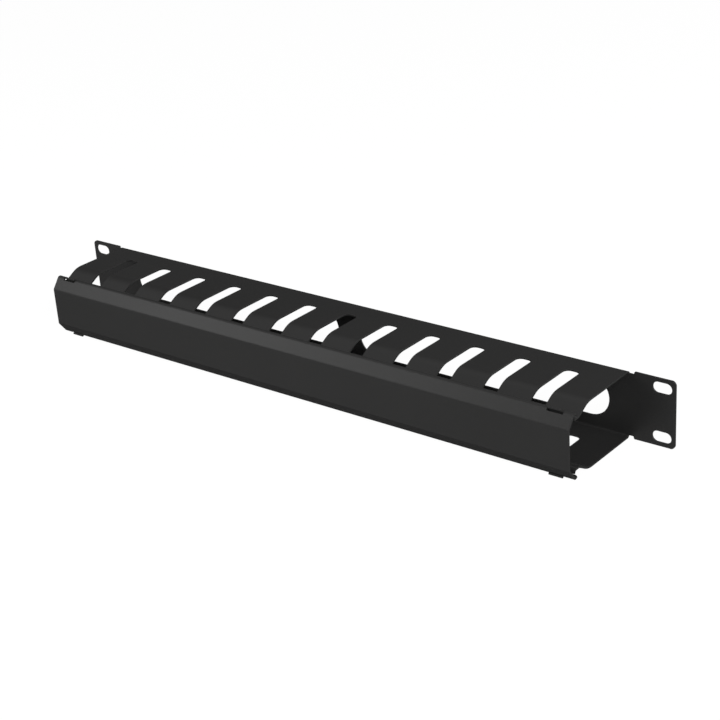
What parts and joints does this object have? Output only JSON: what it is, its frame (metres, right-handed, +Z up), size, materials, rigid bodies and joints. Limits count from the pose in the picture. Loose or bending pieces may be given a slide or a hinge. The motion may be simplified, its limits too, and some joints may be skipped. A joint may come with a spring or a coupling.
{
  "type": "horizontal cable manager",
  "caption": "Horizontal cable manager for a 19-inch rack: a folded sheet duct with curled fingers, slotted rack ears, an open back panel and a clip-on front cover.",
  "frame": {"origin": "centre of the four rack slots, on the rear face of the ears, which bears on the rack's rails", "axes": "+X along the row of fingers, to the right as seen from the front; +Y to the rear, into the rack; +Z up"},
  "size_m": [0.4826, 0.0697, 0.044],
  "materials": {
    "body_coat": "matt black powder coat",
    "cover_coat": "matt black powder coat"
  },
  "bodies": {
    "body": {"body": "body_coat"},
    "cover": {"cover": "cover_coat"}
  },
  "joints": [
    {"name": "cover_pull", "type": "slide", "parent": "body", "child": "cover", "axis": [0, -1, 0], "range_m": [0, 0.04]}
  ]
}
